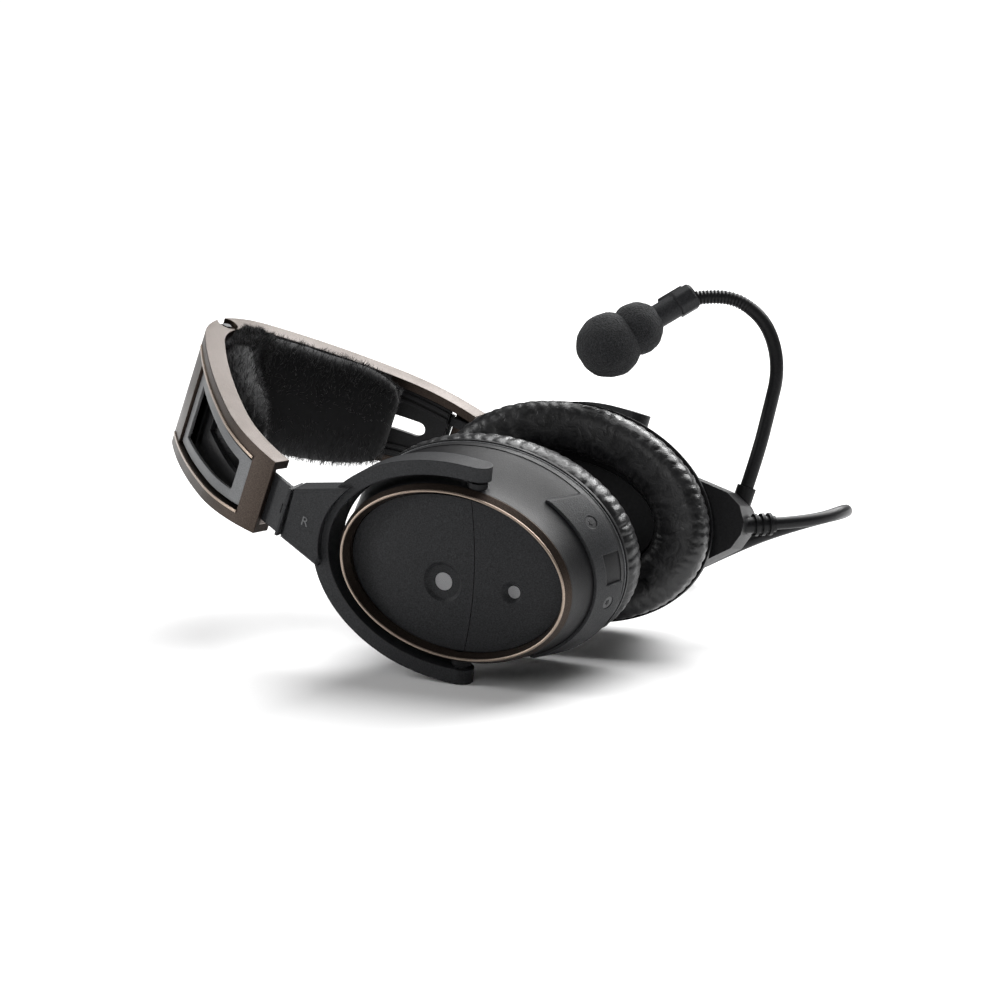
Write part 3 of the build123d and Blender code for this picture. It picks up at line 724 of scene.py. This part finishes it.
def add_gooseneck():
    line, length = smooth_line(BOOM, 0.2)
    rings = []
    side = Vector((1, 0, 0))
    for i, centre in enumerate(line):
        ahead = (line[min(i + 1, len(line) - 1)] - line[max(i - 1, 0)]).normalized()
        side = (side - ahead * side.dot(ahead)).normalized()
        left = length - i * 0.2
        ribbed = min(max((24.0 - left) / 4.0, 0.0), 1.0)
        radius = BOOM_R - 0.08 + (0.16 * math.cos(2 * math.pi * left / 1.25) - 0.06) * ribbed
        rings.append(ring_round(20, side, ahead.cross(side), centre, radius))
    made = capped_tube("gooseneck", rings, cup_frame("l"), RUBBER, "boom")
    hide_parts("boom_tube")


def mic_line(distance):
    start, end = Vector(BOOM[-1]), Vector(MIC_TIP)
    return start + (end - start).normalized() * distance


def add_mic_collar():
    """Eight-sided collar with a raised key where the gooseneck enters the microphone holder."""
    axis = (Vector(MIC_TIP) - Vector(BOOM[-1])).normalized()
    place = cup_frame("l") @ facing(axis, mic_line(-2.6))
    collar = prism(8, 4.95, 7.0)
    soften(collar, 0.5, 2)
    key = bmesh.new()
    bmesh.ops.create_cube(key, size=1.0)
    bmesh.ops.scale(key, verts=key.verts, vec=(2.6, 6.4, 10.0))
    bmesh.ops.translate(key, verts=key.verts, vec=(0, 2.4, 6.2))
    soften(key, 0.6, 3)
    for name, shape in (("mic_collar", collar), ("mic_collar_key", key)):
        shaped(name, shape, place, GREY, "boom", False)


def add_windscreen():
    for name, at, radius in (("windscreen", 32.1, 11.4), ("windscreen_neck", 20.6, 9.3)):
        ball = bmesh.new()
        bmesh.ops.create_icosphere(ball, subdivisions=6, radius=radius)
        for vertex in ball.verts:
            rough = noise.noise(vertex.co * 2.1) * 0.16 + noise.noise(vertex.co * 0.25) * 0.3
            vertex.co *= 1 + (rough - 0.1) / radius
        shaped(name, ball, cup_frame("l") @ shift(mic_line(at)), FOAM, "boom")
    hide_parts("mic_windscreen")


# ================================================================ trim on the headband
def band_strip(name, side, margins, headings, depths, material, smooth=False):
    """A strip that follows the band: between two side margins, two headings and two depths."""
    rings = []
    count = 40
    for i in range(count):
        heading = headings[0] + (headings[1] - headings[0]) * i / (count - 1)
        low, high = band_point(depths[1], heading), band_point(depths[0], heading)
        edge = half_width(low.z)
        sign = 1 if margins[0] >= 0 else -1
        ys = [sign * (edge - abs(m)) for m in margins]
        corners = (low, ys[0]), (high, ys[0]), (high, ys[1]), (low, ys[1])
        rings.append([Vector((p.x, y, p.z)) for p, y in corners])
    return capped_tube(name, rings, band_frame(side), material, f"band_{side}", smooth)


def add_band_trim(side):
    """Lips beside the window in a lighter bronze that is painted highlight, and dark ribs on the inner
    cover.
    """
    for name, margins, width, headings, depths, material, slot in BAND_TRIM:
        strips = []
        for sign in (1, -1):
            for margin in margins:
                edges = (sign * margin, sign * (margin + width))
                strips.append(band_strip(f"{name}_{side}", side, edges, headings, depths, material))
        join(strips)


BAND_TRIM = (
    # The window lips' lighter bronze is painted highlight along the raised lip.
    ("window_lip_highlight", (RAIL_WIDTH - 1.0,), 0.95, LIP_HEADINGS, (-0.45, 0.5), BRONZE_HIGHLIGHT, "bronze_paint"),
    ("inner_rib", (4.2, 6.6), 1.3, (30.0, 76.0), (7.4, 7.95), BLACK, "black_plastic"),
)


# ================================================================ small marks and screws
def add_side_mark():
    letter = bpy.data.curves.new("side_mark", "FONT")
    letter.body = "R"
    letter.size = 4.6
    letter.extrude = 0.05
    letter.align_x = letter.align_y = "CENTER"
    holder = bpy.data.objects.new("side_mark", letter)
    bpy.context.collection.objects.link(holder)
    data = bpy.data.meshes.new_from_object(holder)
    bpy.data.objects.remove(holder)
    face_on = Matrix(((0, 0, 1, 0), (0, 1, 0, 0), (-1, 0, 0, 0), (0, 0, 0, 1)))
    place = yoke_frame("r") @ shift((1.82, -5.5, 55.0)) @ face_on
    vertices = [v.co.copy() for v in data.vertices]
    faces = [list(p.vertices) for p in data.polygons]
    made = piece("side_mark", vertices, faces, place, SILVER, "yoke_r", smooth=False)


def add_screw_recess_shades():
    """Black six-lobed stars on the heads of the cover plate's two screws: painted shade standing in for
    their recesses.
    """
    for number, (y, z) in enumerate(HEADS):
        out = Vector((0, y / HEAD_OVAL[0] ** 2, z / HEAD_OVAL[1] ** 2)).normalized() + Vector((0.2, 0, 0))
        place = cup_frame("r") @ facing(out, Vector((-22.5, y, z)) - out * 0.2)
        star = prism(36, 0.95, 0.3, 6, 0.2)
        shaped(f"screw_recess_shade_{number}", star, place, BLACK, "cup_r", False)


HEADS = ((21.1, -38.9), (-5.35, -47.6))
HEAD_OVAL = (35.84, 48.1)


# ================================================================ studio
def add_studio():
    floor_data = bpy.data.meshes.new("floor")
    far = 14.0
    corners = [(-far, -far, 0), (far, -far, 0), (far, far, 0), (-far, far, 0)]
    floor_data.from_pydata(corners, [], [(0, 1, 2, 3)])
    floor = bpy.data.objects.new("floor", floor_data)
    bpy.context.collection.objects.link(floor)
    paper, nodes, links, base = shader("white_paper")
    base.inputs["Base Color"].default_value = (0.93, 0.93, 0.93, 1)
    base.inputs["Roughness"].default_value = 0.8
    base.inputs["Specular IOR Level"].default_value = 0.2
    floor_data.materials.append(paper)
    world = bpy.data.worlds.new("studio")
    bpy.context.scene.world = world
    world.use_nodes = True
    world.node_tree.nodes["Background"].inputs["Color"].default_value = (1, 1, 1, 1)
    world.node_tree.nodes["Background"].inputs["Strength"].default_value = 0.1
    sun = bpy.data.lights.new("overhead", "SUN")
    sun.energy = 3.8
    sun.angle = math.radians(55)
    lamp = bpy.data.objects.new("overhead", sun)
    lamp.rotation_euler = (math.radians(-31), math.radians(5), 0)
    bpy.context.collection.objects.link(lamp)
    for name, at, size, power_w in LAMPS:
        data = bpy.data.lights.new(name, "AREA")
        data.shape = "RECTANGLE"
        data.size, data.size_y = size
        data.energy = power_w
        lamp = bpy.data.objects.new(name, data)
        lamp.location = at
        lamp.rotation_euler = (Vector((0, 0, 0.05)) - Vector(at)).to_track_quat("-Z", "Y").to_euler()
        bpy.context.collection.objects.link(lamp)
    scene = bpy.context.scene
    scene.view_settings.view_transform = "Standard"


LAMPS = (
    ("left_strip", (-1.1, -0.5, 0.55), (0.3, 1.0), 9),
    ("back_strip", (0.35, 1.2, 0.9), (1.2, 0.35), 22),
    ("front_strip", (0.25, -1.4, 0.9), (0.25, 0.5), 3),
)


# ================================================================ build
dress_frame()
add_camera()
add_lead()
for SIDE in ("r", "l"):
    add_cushion(SIDE)
    add_band_trim(SIDE)
    # Thin silver bead along the flange: painted highlight standing in for the bright line at the flange
    # edge.
    oval_bead(f"flange_highlight_{SIDE}", SIDE, *FLANGE, 0.28, SILVER)
    # Lighter-bronze bead on the trim ring's crest: painted highlight along the crest.
    oval_bead(f"trim_lip_highlight_{SIDE}", SIDE, *CREST, 0.5, BRONZE_HIGHLIGHT)
add_pad()
add_gooseneck()
add_mic_collar()
add_windscreen()
add_side_mark()
add_screw_recess_shades()
add_studio()
